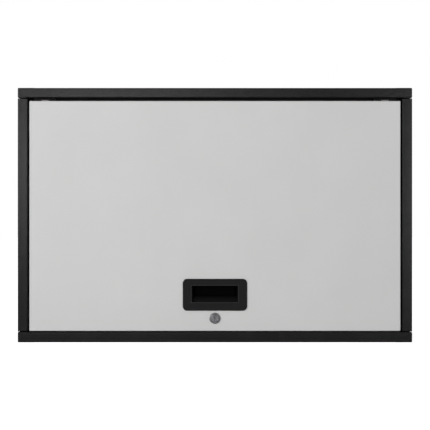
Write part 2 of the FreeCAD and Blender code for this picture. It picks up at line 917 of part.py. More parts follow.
def ball_socket(centre, along, open_way):
    """Socket round a ball, open towards the stud, with a neck along the strut."""
    hollow = ball / 2 + ball_fit
    middle = socket_width / 2
    mouth_start = middle + math.sqrt(hollow ** 2 - (socket_mouth / 2) ** 2)
    profile = [
        (middle - hollow, 0),
        (0, 0),
        (0, socket / 2),
        (socket_width, socket / 2),
        (socket_width, socket_mouth / 2),
        (mouth_start, socket_mouth / 2),
    ]
    base = centre - Vector(open_way * middle, 0, 0)
    ring = turned_round(profile, middle, hollow, base, open_way)
    neck_start = hollow + ball_fit
    neck = rod(socket_neck / 2, centre + along * neck_start, along, socket_length - neck_start)
    return ring.fuse(neck).removeSplitter()


def strut_cylinder():
    """Pressure tube: closed at the socket, with a rolled nose that guides the rod."""
    outer = cylinder_diameter / 2
    inner = outer - cylinder_wall
    start = socket_length
    end = start + cylinder_length
    bore = rod_diameter / 2 + rod_fit
    profile = [
        (start, 0),
        (start, outer - cylinder_nose),
        (start + cylinder_nose, outer),
        (end - cylinder_nose, outer),
        (end, outer - cylinder_nose),
        (end, bore),
        (end - guide_length, bore),
        (end - guide_length, inner),
        (start + cylinder_end, inner),
        (start + cylinder_end, 0),
    ]
    return turned(profile, strut_point(0), strut_axis)


def strut_rod():
    """Rod with its piston at rest near the closed end of the tube."""
    inner = cylinder_diameter / 2 - cylinder_wall - rod_fit
    start = socket_length + cylinder_end + piston_rest_gap
    end = strut_length - socket_length
    profile = [
        (start, 0),
        (start, inner),
        (start + piston_length, inner),
        (start + piston_length, rod_diameter / 2),
        (end, rod_diameter / 2),
        (end, 0),
    ]
    return turned(profile, strut_point(0), strut_axis)


def strut_point(distance):
    """Point on the right strut's line, counted from the ball on the cabinet."""
    base = body_stud + strut_axis * distance
    return Vector(strut_plane, base.y, base.z)


def body_bracket():
    """Hat bracket welded to the side panel, which stands the lower stud off into the strut's plane."""
    def xz(x, z):
        return Vector(x, body_stud.y - bracket_width / 2, body_stud.z + z)

    web = stud_flange / 2 + bracket_margin + bracket_sheet
    foot = web + bracket_foot
    crown = body_bracket_face
    seat = half - sheet - bracket_sheet
    path = [(seat, foot), (seat, web), (crown, web), (crown, -web), (seat, -web), (seat, -foot)]
    return folded(path, bracket_sheet, bracket_sheet, xz, Vector(0, bracket_width, 0))


def door_bracket():
    """Angle bracket screwed to the door's inner skin."""
    def xy(x, y):
        return Vector(x, y, door_bracket_middle - door_bracket_height / 2)

    face = door_bracket_face
    tip = door_stud.y + stud_flange / 2 + bracket_margin
    path = [(face - door_bracket_foot, door_back), (face, door_back), (face, tip)]
    shape = folded(path, bracket_sheet, bracket_sheet, xy, Vector(0, 0, door_bracket_height))
    for seat in door_bracket_screw_seats(1):
        hole = rod(screw_shank / 2, seat, Vector(0, -1, 0), bracket_sheet + overrun)
        shape = shape.cut(hole)
    return shape


def door_bracket_screw_seats(side):
    """Seats of the two screws of a door bracket."""
    x = side * (door_bracket_face - bracket_sheet - (door_bracket_foot - bracket_sheet) / 2)
    y = door_back + bracket_sheet
    return [Vector(x, y, door_bracket_middle + s * bracket_screw_spacing / 2) for s in (-1, 1)]


def door_bracket_screws(side):
    """Two short screws of the door bracket."""
    way = Vector(0, -1, 0)
    seats = door_bracket_screw_seats(side)
    return Part.Compound([pan_screw(seat, way, door_screw_length) for seat in seats])


def stud_nut_piece():
    """Nut and thread end of the upper stud, on the inner side of the door's bracket."""
    start = Vector(door_bracket_face - bracket_sheet, door_stud.y, door_stud.z)
    way = Vector(-1, 0, 0)
    nut = hexagon(stud_nut, start, way, stud_nut_height)
    thread = rod(stud_neck / 2, start, way, stud_nut_height + thread_show)
    return nut.fuse(thread).removeSplitter()


# The assembly

def both_sides(name, shape):
    """A piece made for the right side, and its mirror image."""
    return {name + "_right": shape, name + "_left": mirror_x(shape)}


def assembly():
    lower_ball = strut_point(0)
    upper_ball = strut_point(strut_length)
    washer, cam_screw = cam_fastening()
    pieces = {
        "top_panel": top_panel(),
        "bottom_panel": bottom_panel(),
        "back_panel": back_panel(),
        "hanging_rail": rail(wall_rows[1]),
        "lower_rail": rail(wall_rows[0]),
        "body_screws": body_screws(),
        "door_outer_skin": door_outer_skin(),
        "door_inner_skin": door_inner_skin(),
        "door_pull": door_pull(),
        "lock_housing": lock_housing(),
        "lock_nut": lock_nut_piece(),
        "lock_plug": lock_plug(),
        "lock_cam": lock_cam(),
        "cam_washer": washer,
        "cam_screw": cam_screw,
    }
    pieces.update(both_sides("side_panel", side_panel()))
    pieces.update(both_sides("strut_cylinder", strut_cylinder()))
    pieces.update(both_sides("strut_rod", strut_rod()))
    pieces.update(both_sides("lower_socket", ball_socket(lower_ball, strut_axis, 1)))
    pieces.update(both_sides("upper_socket", ball_socket(upper_ball, strut_axis * -1, -1)))
    pieces.update(both_sides("lower_stud", ball_stud(lower_ball, -1, lower_stud_length)))
    upper_stud = ball_stud(upper_ball, 1, upper_stud_length - stud_to_plate)
    pieces.update(both_sides("upper_stud", upper_stud))
    pieces.update(both_sides("body_bracket", body_bracket()))
    pieces.update(both_sides("door_bracket", door_bracket()))
    pieces.update(both_sides("stud_nut", stud_nut_piece()))
    for side, word in ((-1, "left"), (1, "right")):
        pieces["door_bumper_" + word] = door_bumper(side)
        pieces["hinge_pin_" + word] = hinge_pin(side)
        pieces["cabinet_leaf_" + word] = hinge_leaf(side, 1, (-1, 1), (0,))
        pieces["door_leaf_" + word] = hinge_leaf(side, -1, (0,), (-1, 1))
        pieces["cabinet_rivets_" + word] = hinge_rivets(side, 1)
        pieces["door_rivets_" + word] = hinge_rivets(side, -1)
        pieces["door_stiffener_" + word] = door_stiffener(side)
        pieces["door_bracket_screws_" + word] = door_bracket_screws(side)
    return pieces


def stud_at(angle):
    """Ball on the door, in the YZ plane, with the door turned up by an angle in degrees."""
    turn = math.radians(angle)
    y = door_stud_back * math.cos(turn) - door_stud_down * math.sin(turn)
    z = -door_stud_back * math.sin(turn) - door_stud_down * math.cos(turn)
    return Vector(0, pivot_y + y, pivot_z + z)


def strut_motion():
    """Stroke of the rod and swing of the tube as the door goes from closed to open."""
    opened = stud_at(door_open) - body_stud
    stroke = opened.Length - strut_length
    swing = math.degrees(strut_axis.getAngle(opened))
    return stroke, swing


os.makedirs("parts", exist_ok=True)
solids = assembly()
for node, shape in solids.items():
    shape.exportStep("parts/" + node + ".step")
stroke, swing = strut_motion()
print(len(solids), "pieces, strut stroke", round(stroke, 3), "mm, swing", round(swing, 4), "degrees")
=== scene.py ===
import json
import math

import bmesh
import bpy
from mathutils import Matrix, Vector


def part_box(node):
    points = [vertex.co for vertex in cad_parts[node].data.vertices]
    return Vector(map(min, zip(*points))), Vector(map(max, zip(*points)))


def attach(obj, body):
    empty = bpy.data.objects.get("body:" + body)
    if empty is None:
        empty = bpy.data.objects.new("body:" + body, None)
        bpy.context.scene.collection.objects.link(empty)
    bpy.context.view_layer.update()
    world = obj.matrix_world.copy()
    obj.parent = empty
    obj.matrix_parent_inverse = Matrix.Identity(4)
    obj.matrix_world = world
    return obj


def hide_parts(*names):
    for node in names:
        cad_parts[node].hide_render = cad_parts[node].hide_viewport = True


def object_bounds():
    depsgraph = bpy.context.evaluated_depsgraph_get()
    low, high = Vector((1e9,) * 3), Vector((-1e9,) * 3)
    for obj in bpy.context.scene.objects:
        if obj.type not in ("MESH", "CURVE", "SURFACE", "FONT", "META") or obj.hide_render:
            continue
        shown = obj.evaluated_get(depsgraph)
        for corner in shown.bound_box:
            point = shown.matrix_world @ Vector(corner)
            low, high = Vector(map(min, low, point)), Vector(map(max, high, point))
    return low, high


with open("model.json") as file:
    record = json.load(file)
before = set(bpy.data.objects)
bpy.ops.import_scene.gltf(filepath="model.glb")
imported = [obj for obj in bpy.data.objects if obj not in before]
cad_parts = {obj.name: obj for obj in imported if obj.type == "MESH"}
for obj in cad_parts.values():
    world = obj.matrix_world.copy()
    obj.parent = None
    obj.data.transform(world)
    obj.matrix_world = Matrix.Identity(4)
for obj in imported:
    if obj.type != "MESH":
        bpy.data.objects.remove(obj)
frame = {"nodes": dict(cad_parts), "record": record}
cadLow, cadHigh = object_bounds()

print("frame loaded:", len(frame["nodes"]), "nodes")


class Value:
    # wraps a socket, so that shader maths reads as plain expressions
    def __init__(self, tree, socket):
        self.tree = tree
        self.socket = socket

    def math(self, operation, *values):
        return self.tree.node("ShaderNodeMath", {"operation": operation}, values)

    def __add__(self, other):
        return self.math("ADD", self, other)

    def __radd__(self, other):
        return self.math("ADD", other, self)

    def __sub__(self, other):
        return self.math("SUBTRACT", self, other)

    def __rsub__(self, other):
        return self.math("SUBTRACT", other, self)

    def __mul__(self, other):
        return self.math("MULTIPLY", self, other)

    def __rmul__(self, other):
        return self.math("MULTIPLY", other, self)

    def sine(self):
        return self.math("SINE", self)


class Tree:
    def __init__(self, owner):
        owner.use_nodes = True
        self.nodes = owner.node_tree.nodes
        self.links = owner.node_tree.links
        self.nodes.clear()

    # any node: its settings are set first, then its sockets get values or links
    def node(self, kind, settings=None, sockets=None, output=0):
        made = self.nodes.new(kind)
        for name, setting in (settings or {}).items():
            setattr(made, name, setting)
        given = sockets or {}
        pairs = given.items() if isinstance(given, dict) else enumerate(given)
        for key, value in pairs:
            if isinstance(value, Value):
                self.links.new(value.socket, made.inputs[key])
            else:
                made.inputs[key].default_value = value
        return Value(self, made.outputs[output]) if len(made.outputs) else None

    def objectPoint(self):
        return self.node("ShaderNodeTexCoord", output="Object")

    def along(self, point, axis):
        return self.node("ShaderNodeSeparateXYZ", {}, [point], output=axis)

    def noise(self, point, scale, detail, roughness=0.5):
        sockets = {"Vector": point, "Scale": scale, "Detail": detail, "Roughness": roughness}
        return self.node("ShaderNodeTexNoise", {}, sockets, output="Fac")

    def cells(self, point, scale):
        return self.node("ShaderNodeTexVoronoi", {}, {"Vector": point, "Scale": scale}, "Distance")

    def stretched(self, point, scale):
        return self.node("ShaderNodeMapping", {}, {"Vector": point, "Scale": scale})

    def vectorMath(self, operation, values, output=0):
        return self.node("ShaderNodeVectorMath", {"operation": operation}, values, output)

    def band(self, value, low, high, newLow=0.0, newHigh=1.0):
        sockets = [value, low, high, newLow, newHigh]
        return self.node("ShaderNodeMapRange", {"clamp": True}, sockets)

    def blend(self, mask, first, second):
        sockets = {0: mask, 6: first, 7: second}
        return self.node("ShaderNodeMix", {"data_type": "RGBA"}, sockets, output=2)

    def within(self, point, low, high, soft):
        # 1 inside the box, 0 outside it
        mask = 1.0
        for axis, start, end in zip("XYZ", low, high):
            place = self.along(point, axis)
            afterStart = self.band(place, start, start + soft)
            beforeEnd = self.band(place, end - soft, end, 1.0, 0.0)
            mask = afterStart * beforeEnd * mask
        return mask

    def bump(self, height, strength, distance, under=None):
        sockets = {"Height": height, "Strength": strength, "Distance": distance}
        if under is not None:
            sockets["Normal"] = under
        return self.node("ShaderNodeBump", {}, sockets)

    def ray(self, kind):
        return self.node("ShaderNodeLightPath", output=kind)

    def mirrorRay(self):
        return self.ray("Is Glossy Ray") + self.ray("Is Transmission Ray")

    def surface(self, sockets, under=None, mask=None):
        # where the mask is 1, the second set of sockets takes over
        shader = self.node("ShaderNodeBsdfPrincipled", {}, sockets)
        if under is not None:
            recessShade = self.node("ShaderNodeBsdfPrincipled", {}, under)
            shader = self.node("ShaderNodeMixShader", {}, [mask, shader, recessShade])
        self.node("ShaderNodeOutputMaterial", {}, {"Surface": shader})


def newMaterial(name):
    material = bpy.data.materials.new(name)
    return material, Tree(material)


def rgb(red, green, blue):
    return (red, green, blue, 1.0)


# noise levels between which a colour or a roughness turns into the other one
softBand = (0.35, 0.65)
wideBand = (0.3, 0.7)

coatSkin = {
    "patches": 9.0,                 # scale of the clouds in which the colour drifts
    "grainShare": 0.4,              # what the fine grain adds to the clouds in the roughness
    "roughBand": (0.45, 0.95),
    "peelBump": (0.16, 0.0004),     # strength and depth of the orange peel
    "grainBump": (0.10, 0.0001),
}

bodyCoat = {
    **coatSkin,
    "colour": rgb(0.0080, 0.0080, 0.0082),
    "faded": rgb(0.0096, 0.0096, 0.0098),
    "roughness": (0.25, 0.29),
    "specular": 0.17,
    "peel": 620.0,
    "grain": 2600.0,
}

hingeCoat = {
    **bodyCoat,
    "colour": rgb(0.0035, 0.0035, 0.0036),
    "faded": rgb(0.0055, 0.0055, 0.0056),
    "roughness": (0.50, 0.60),
    "specular": 0.12,
    "peel": 900.0,
}

doorCoat = {
    **coatSkin,
    "colour": rgb(0.590, 0.590, 0.587),
    "faded": rgb(0.606, 0.606, 0.603),
    "roughness": (0.42, 0.48),
    "specular": 0.34,
    "peel": 480.0,
    "grain": 2200.0,
}

strutLacquer = {
    **coatSkin,
    "colour": rgb(0.0100, 0.0100, 0.0104),
    "faded": rgb(0.0125, 0.0125, 0.0130),
    "roughness": (0.22, 0.32),
    "specular": 0.5,
    "peel": 300.0,
    "grain": 2600.0,
}

# inside the cabinet the coat is rougher, and its colour is painted darker as shade, so that the
# inside and the gap over the door read shaded
insideShadeCoat = {
    "inset": 0.0005,      # inside the outer faces of the cabinet
    "lip": 0.006,         # behind its front, so that the lips keep the plain coat without the painted shade
    "soft": 0.0002,
    "colour": rgb(0.0048, 0.0048, 0.0049),
    "roughness": 0.62,
}


def insideBox(sizes):
    # the room in which the body's coat is rougher and painted darker as shade
    trayLow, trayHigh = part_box("top_panel")
    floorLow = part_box("bottom_panel")[0]
    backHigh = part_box("back_panel")[1]
    inset = sizes["inset"]
    low = (trayLow.x + inset, trayLow.y + sizes["lip"], floorLow.z + inset)
    high = (trayHigh.x - inset, backHigh.y - inset, trayHigh.z - inset)
    return low, high


def powderCoat(name, coat):
    material, tree = newMaterial(name)
    point = tree.objectPoint()
    cloud = tree.noise(point, coat["patches"], detail=3.0)
    peel = tree.noise(point, coat["peel"], detail=1.0)
    grain = tree.noise(point, coat["grain"], detail=2.0)
    orange = tree.bump(peel, *coat["peelBump"])
    colour = tree.blend(tree.band(cloud, *softBand), coat["colour"], coat["faded"])
    speckle = cloud + coat["grainShare"] * grain
    rough = tree.band(speckle, *coat["roughBand"], *coat["roughness"])
    # painted shade: inside the cabinet the colour turns darker, and the roughness rises
    insideShade = coat.get("insideShade")
    if insideShade:
        mask = tree.within(point, *insideBox(insideShade), insideShade["soft"])
        colour = tree.blend(mask, colour, insideShade["colour"])
        rough = rough + mask * (insideShade["roughness"] - rough)
    tree.surface({
        "Base Color": colour,
        "Roughness": rough,
        "Specular IOR Level": coat["specular"],
        "Normal": tree.bump(grain, *coat["grainBump"], orange),
    })
    return material


pullRim = {
    "front": 0.0001,     # vertices this near to the front belong to the bezel's face
    "edge": 0.004,       # and those this near to its outline don't bound the opening
}


def pullMouth(sizes):
    # corners of the pull's opening, from the innermost points of its front face
    low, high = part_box("door_pull")
    edge = sizes["edge"]
    points = [vert.co for vert in frame["nodes"]["door_pull"].data.vertices]
    inner = [point for point in points if point.y < low.y + sizes["front"]
             and low.x + edge < point.x < high.x - edge
             and low.z + edge < point.z < high.z - edge]
    reach = max(abs(point.x) for point in inner)
    foot = min(point.z for point in inner)
    head = max(point.z for point in inner)
    return Vector((-reach, low.y, foot)), Vector((reach, low.y, head))


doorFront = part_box("door_outer_skin")[0].y

mouldedPlastic = {
    "colour": rgb(0.0082, 0.0082, 0.0084),
    "worn": rgb(0.0104, 0.0104, 0.0106),
    "roughness": (0.50, 0.62),
    "specular": 0.13,
    "patches": 30.0,
    "spark": 1700.0,     # scale of the pits of the spark texture
    "pitBump": (0.18, 0.00015),
}

pullPlastic = {
    **mouldedPlastic,
    "depth": (doorFront, doorFront + 0.007),    # along Y, between them the painted shade of the recess takes over
    "recessShade": rgb(0.0008, 0.0008, 0.0008),
    "recessShadeSpecular": 0.02,
    "mouth": pullMouth(pullRim),                # corners of the opening, round whose rim a highlight is painted
    "rimHighlight": rgb(0.0250, 0.0250, 0.0252),
    "rimHighlightReach": 0.0015,
    "rimHighlightBand": (0.2, 0.5, 0.6, 1.0),         # noise levels, and how strong the painted highlight is there
}

socketPlastic = {**mouldedPlastic, "spark": 2400.0}


def sparkTexture(name, plastic):
    material, tree = newMaterial(name)
    point = tree.objectPoint()
    pits = tree.cells(point, plastic["spark"])
    cloud = tree.noise(point, plastic["patches"], detail=2.0)
    colour = tree.blend(tree.band(cloud, *softBand), plastic["colour"], plastic["worn"])
    # painted highlight in patches round the rim of the pull's opening
    if "mouth" in plastic:
        low, high = plastic["mouth"]
        reach = Vector((plastic["rimHighlightReach"],) * 3)
        rim = tree.within(point, low - reach, high + reach, plastic["rimHighlightReach"] / 2)
        rimHighlightPatches = tree.band(cloud, *plastic["rimHighlightBand"])
        colour = tree.blend(rim * rimHighlightPatches, colour, plastic["rimHighlight"])
    skin = {
        "Base Color": colour,
        "Roughness": tree.band(cloud, *wideBand, *plastic["roughness"]),
        "Specular IOR Level": plastic["specular"],
        "Normal": tree.bump(pits, *plastic["pitBump"]),
    }
    # painted shade: deeper in the pull's recess the skin turns near-black, with little gloss
    if "depth" in plastic:
        recessShade = {
            **skin,
            "Base Color": plastic["recessShade"],
            "Specular IOR Level": plastic["recessShadeSpecular"],
        }
        tree.surface(skin, recessShade, tree.band(tree.along(point, "Y"), *plastic["depth"]))
    else:
        tree.surface(skin)
    return material


bumperRubber = {
    "colour": rgb(0.012, 0.012, 0.012),
    "dusty": rgb(0.028, 0.028, 0.027),
    "roughness": (0.70, 0.88),
    "specular": 0.25,
    "dust": 340.0,
    "dustBand": (0.4, 0.75),
    "dustBump": (0.25, 0.0002),
}


def rubber(name, skin):
    material, tree = newMaterial(name)
    dust = tree.noise(tree.objectPoint(), skin["dust"], detail=3.0)
    tree.surface({
        "Base Color": tree.blend(tree.band(dust, *skin["dustBand"]), skin["colour"], skin["dusty"]),
        "Roughness": tree.band(dust, *wideBand, *skin["roughness"]),
        "Specular IOR Level": skin["specular"],
        "Normal": tree.bump(dust, *skin["dustBump"]),
    })
    return material


plating = {
    "patches": 60.0,
    "lineRoughness": 0.6,
    "lineBump": (0.06, 0.0001),
}

nickelPlate = {
    **plating,
    "colour": rgb(0.22, 0.22, 0.23),
    "shade": rgb(0.16, 0.16, 0.17),
    "roughness": (0.28, 0.38),
    "lines": (900.0, 90.0, 900.0),    # scale along each axis, lowest along the lines
}

zincPlate = {
    **plating,
    "colour": rgb(0.52, 0.53, 0.54),
    "shade": rgb(0.38, 0.40, 0.42),
    "roughness": (0.28, 0.44),
    "lines": (700.0, 700.0, 700.0),
}

groundRod = {
    **plating,
    "colour": rgb(0.60, 0.60, 0.62),
    "shade": rgb(0.55, 0.55, 0.57),
    "roughness": (0.08, 0.16),
    "lines": (1500.0, 300.0, 300.0),
}

blackenedSteel = {
    **plating,
    "colour": rgb(0.050, 0.049, 0.048),
    "shade": rgb(0.028, 0.028, 0.029),
    "roughness": (0.42, 0.58),
    "lines": (500.0, 500.0, 500.0),
}


def plated(name, metal):
    # metallic finish with fine lines or grains
    material, tree = newMaterial(name)
    point = tree.objectPoint()
    drawn = tree.stretched(point, metal["lines"])
    lines = tree.noise(drawn, 1.0, detail=3.0, roughness=metal["lineRoughness"])
    cloud = tree.noise(point, metal["patches"], detail=2.0)
    tree.surface({
        "Base Color": tree.blend(tree.band(cloud, *softBand), metal["colour"], metal["shade"]),
        "Metallic": 1.0,
        "Roughness": tree.band(0.5 * lines + 0.5 * cloud, *wideBand, *metal["roughness"]),
        "Normal": tree.bump(lines, *metal["lineBump"]),
    })
    return material


lockLow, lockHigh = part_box("lock_housing")
lockAxis = ((lockLow.x + lockHigh.x) / 2, 0.0, (lockLow.z + lockHigh.z) / 2)

turnedPlug = {
    "colour": rgb(0.25, 0.25, 0.26),
    "shade": rgb(0.15, 0.15, 0.16),
    "roughness": (0.32, 0.44),
    "patches": 420.0,
    "rings": 5200.0,      # turning marks round the axis
    "ringBump": (0.35, 0.00004),
}


def turnedFace(name, metal):
    material, tree = newMaterial(name)
    point = tree.vectorMath("SUBTRACT", [tree.objectPoint(), lockAxis])
    flat = tree.vectorMath("MULTIPLY", [point, (1.0, 0.0, 1.0)])
    away = tree.vectorMath("LENGTH", [flat], output="Value")
    rings = (away * metal["rings"]).sine()
    cloud = tree.noise(point, metal["patches"], detail=3.0)
    tree.surface({
        "Base Color": tree.blend(tree.band(cloud, *softBand), metal["colour"], metal["shade"]),
        "Metallic": 1.0,
        "Roughness": tree.band(cloud, *wideBand, *metal["roughness"]),
        "Normal": tree.bump(rings, *metal["ringBump"]),
    })
    return material


threadedBarrel = {
    "root": rgb(0.30, 0.30, 0.31),
    "crest": rgb(0.46, 0.46, 0.47),
    "crestBand": (-1.0, 0.2),
    "roughness": (0.24, 0.40),
    "patches": 300.0,
    "pitch": 0.001,
    "threadBump": (0.8, 0.0003),
}


def threaded(name, metal):
    # fine thread along Y, as on the barrel of the lock
    material, tree = newMaterial(name)
    point = tree.objectPoint()
    thread = (tree.along(point, "Y") * (math.tau / metal["pitch"])).sine()
    cloud = tree.noise(point, metal["patches"], detail=3.0)
    # painted shade: the thread's roots are coloured darker than its crests
    crest = tree.band(thread, *metal["crestBand"])
    tree.surface({
        "Base Color": tree.blend(crest, metal["root"], metal["crest"]),
        "Metallic": 1.0,
        "Roughness": tree.band(cloud, *wideBand, *metal["roughness"]),
        "Normal": tree.bump(thread, *metal["threadBump"]),
    })
    return material


# the door's coat on the hinge leaves, with painted shade over the upper part of the knuckle
shadedLeaf = {
    "shadedTop": rgb(0.0030, 0.0030, 0.0031),
    "coat": rgb(0.55, 0.55, 0.55),
    "roughness": (0.45, 0.60),
    "specular": 0.12,
    "drop": (0.0021, 0.0005),     # below the pin's axis, where the coat gives way to the painted shade above
    "grain": 900.0,
    "ragged": 0.0006,             # how far the grain moves that edge
    "grainBump": (0.12, 0.0002),
}


def shadedKnuckle(name, pin, sizes):
    # hinge leaf in the door's coat with painted shade: above a line just under the pin's axis it is
    # dark, as the knuckle's upper part lies shaded under the top's lip
    material, tree = newMaterial(name)
    point = tree.objectPoint()
    grain = tree.noise(point, sizes["grain"], detail=3.0)
    pinLow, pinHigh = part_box(pin)
    start, end = ((pinLow.z + pinHigh.z) / 2 - drop for drop in sizes["drop"])
    place = tree.along(point, "Z") + sizes["ragged"] * grain
    mask = tree.band(place, start, end, 1.0, 0.0)
    tree.surface({
        "Base Color": tree.blend(mask, sizes["shadedTop"], sizes["coat"]),
        "Roughness": tree.band(grain, *wideBand, *sizes["roughness"]),
        "Specular IOR Level": sizes["specular"],
        "Normal": tree.bump(grain, *sizes["grainBump"]),
    })
    return material


finishes = {
    "body_black": powderCoat("bodyCoat", {**bodyCoat, "insideShade": insideShadeCoat}),
    "hinge_black": powderCoat("hingeCoat", hingeCoat),
    "bracket_black": powderCoat("bracketCoat", hingeCoat),
    "door_grey": powderCoat("doorCoat", doorCoat),
    "strut_black": powderCoat("strutLacquer", strutLacquer),
    "pull_black": sparkTexture("pullPlastic", pullPlastic),
    "socket_black": sparkTexture("socketPlastic", socketPlastic),
    "bumper_rubber": rubber("bumperRubber", bumperRubber),
    "lock_bright": plated("lockNickel", nickelPlate),
    "lock_zinc": plated("lockZinc", zincPlate),
    "fastener_zinc": plated("fastenerZinc", zincPlate),
    "stud_zinc": plated("studZinc", zincPlate),
    "strut_rod_bright": plated("rodChrome", groundRod),
    "hinge_steel": plated("hingeSteel", blackenedSteel),
    "leaf_painted_shade": shadedKnuckle("shadedLeaf", "hinge_pin_left", shadedLeaf),
    "plug_turned": turnedFace("plugTurned", turnedPlug),
    "barrel_thread": threaded("barrelThread", threadedBarrel),
}

# CAD nodes with a finish of their own, in place of their slot's
ownFinish = {
    "door_leaf_left": "leaf_painted_shade",
    "door_leaf_right": "leaf_painted_shade",
    "hinge_pin_left": "hinge_steel",
    "hinge_pin_right": "hinge_steel",
    "cabinet_rivets_left": "hinge_steel",
    "cabinet_rivets_right": "hinge_steel",
    "lock_plug": "plug_turned",
}

slotOf = {part["node"]: part["material_slot"] for part in frame["record"]["subparts"]}
for node, cadObject in frame["nodes"].items():
    cadObject.data.materials.clear()
    cadObject.data.materials.append(finishes[ownFinish.get(node, slotOf[node])])
print("finishes on", len(slotOf), "nodes, mouth of the pull from", *pullPlastic["mouth"])


meshing = {
    "crease": math.radians(30.0),    # a steeper edge is drawn sharp
    "cadWeld": 1e-6,                 # vertices of a CAD mesh nearer than this are one
    "fineWeld": 1e-7,
    "turnSteps": 40,                 # sides of a turned shape
}


def cadCopy(node):
    shape = bmesh.new()
    shape.from_mesh(frame["nodes"][node].data)
    bmesh.ops.remove_doubles(shape, verts=shape.verts, dist=meshing["cadWeld"])
    return shape


def meshFrom(name, shape):
    # writes a bmesh to a new mesh and frees it
    mesh = bpy.data.meshes.new(name)
    shape.to_mesh(mesh)
    shape.free()
    return mesh


def joinInto(whole, part):
    mesh = meshFrom("part", part)
    whole.from_mesh(mesh)
    bpy.data.meshes.remove(mesh)


def addObject(name, data):
    made = bpy.data.objects.new(name, data)
    bpy.context.scene.collection.objects.link(made)
    return made


def makePiece(name, shape, slots, body, nodes):
    # slots: the finishes by material number, the first one being the record's slot
    for polygon in shape.faces:
        polygon.smooth = True
    mesh = meshFrom(name, shape)
    mesh.set_sharp_from_angle(angle=meshing["crease"])
    for slot in slots:
        mesh.materials.append(finishes[slot])
    piece = addObject(name, mesh)
    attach(piece, body)
    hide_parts(*nodes)
    return piece


def islands(shape):
    # the separate solids of a mesh, each as a list of vertices, always in the same order
    seen = set()
    found = []
    for first in shape.verts:
        if first in seen:
            continue
        seen.add(first)
        island = [first]
        for vert in island:    # it grows while this loop walks along it
            for link in vert.link_edges:
                other = link.other_vert(vert)
                if other not in seen:
                    seen.add(other)
                    island.append(other)
        found.append(island)
    return found


def spun(profile):
    # closed solid from (radius, height) pairs, turned round Z
    shape = bmesh.new()
    verts = [shape.verts.new((radius, 0.0, height)) for radius, height in profile]
    edges = [shape.edges.new(pair) for pair in zip(verts, verts[1:])]
    bmesh.ops.spin(shape, geom=verts + edges, cent=(0, 0, 0), axis=(0, 0, 1), angle=math.tau,
                   steps=meshing["turnSteps"], use_merge=True)
    bmesh.ops.remove_doubles(shape, verts=shape.verts, dist=meshing["fineWeld"])
    return shape


def closeRims(shape, normal):
    rims = [edge for edge in shape.edges if edge.is_boundary]
    bmesh.ops.triangle_fill(shape, edges=rims, use_beauty=True, normal=normal)


screwHeads = {
    "crown": (            # shares of the head's radius and of its height
        (1.0, 0.35), (0.94, 0.62), (0.86, 0.80), (0.74, 0.93),
    ),
    "rim": 0.0027,        # ring of the head in which the recess lies
    "reach": 0.0021,      # half the length of the cross recess
    "web": 0.00046,       # half its width
    "sunk": 0.0016,
    "draw": 0.45,         # share of its width that is left at the bottom
    "shank": 0.0024,
    "shankShare": 0.6,    # of the head's radius, the most that the shank may be
    "edgeShare": 0.99,    # of that radius, past which a vertex is on the head's edge
    "turns": (0.3, 1.1, 0.7, 0.1, 1.4, 0.5),    # how far each recess is turned, in radians
}


def crossHead(radius, height, shank, length, sizes):
    # pan head with a cross recess; its seat is at 0 and its top points up
    side = [(0.0, -length), (shank, -length), (shank, 0.0), (radius, 0.0)]
    crown = [(radius * out, height * up) for out, up in sizes["crown"]]
    shape = spun(side + crown + [(sizes["rim"], height)])
    size = sizes["reach"]
    cross = bmesh.ops.create_grid(shape, x_segments=3, y_segments=3, size=size)["verts"]
    for vert in cross:
        for axis in (0, 1):
            if abs(vert.co[axis]) < size / 2:    # the grid's inner lines move to the web's sides
                vert.co[axis] = math.copysign(sizes["web"], vert.co[axis])
        vert.co.z = height
    grid = set(cross)
    arms, corners = [], []
    for face in shape.faces:
        if face.verts[0] in grid:
            off = min(abs(share) for share in face.calc_center_median().xy)
            (corners if off > sizes["web"] else arms).append(face)
    bmesh.ops.delete(shape, geom=corners, context="FACES")
    sunk = bmesh.ops.extrude_face_region(shape, geom=arms)["geom"]
    bmesh.ops.delete(shape, geom=[face for face in arms if face.is_valid], context="FACES")
    draw = sizes["draw"]
    for vert in sunk:
        if isinstance(vert, bmesh.types.BMVert):
            vert.co = (vert.co.x * draw, vert.co.y * draw, height - sizes["sunk"])
    closeRims(shape, (0, 0, 1))
    bmesh.ops.recalc_face_normals(shape, faces=shape.faces)
    return shape


def screwPiece(name, node, body, axis, sizes):
    # one head with a cross recess for each solid of a CAD node of screws along that axis
    cad = cadCopy(node)
    whole = bmesh.new()
    across = 1 if axis == 0 else 0
    for number, island in enumerate(islands(cad)):
        low = Vector([min(vert.co[i] for vert in island) for i in range(3)])
        high = Vector([max(vert.co[i] for vert in island) for i in range(3)])
        middle = (low + high) / 2
        reach = (high[axis] - low[axis]) / 2
        radius = (high[across] - low[across]) / 2

        def outFrom(vert):
            return (vert.co - middle).length - abs(vert.co[axis] - middle[axis])

        sign = math.copysign(1.0, max(island, key=outFrom).co[axis] - middle[axis])
        edge = [vert.co[axis] for vert in island
                if abs((vert.co - middle)[across]) > radius * sizes["edgeShare"]]
        seat = min(edge, key=lambda level: (level - middle[axis]) * sign)
        height = abs(middle[axis] + sign * reach - seat)
        shank = min(sizes["shank"], radius * sizes["shankShare"])
        head = crossHead(radius, height, shank, 2 * reach - height, sizes)
        way = Vector([sign if i == axis else 0.0 for i in range(3)])
        place = middle.copy()
        place[axis] = seat
        swing = Matrix.Rotation(sizes["turns"][number % len(sizes["turns"])], 4, "Z")
        upright = way.to_track_quat("Z", "Y").to_matrix().to_4x4()
        pose = Matrix.Translation(place) @ upright @ swing
        bmesh.ops.transform(head, matrix=pose, verts=head.verts)
        joinInto(whole, head)
    cad.free()
    makePiece(name, whole, [slotOf[node]], body, [node])


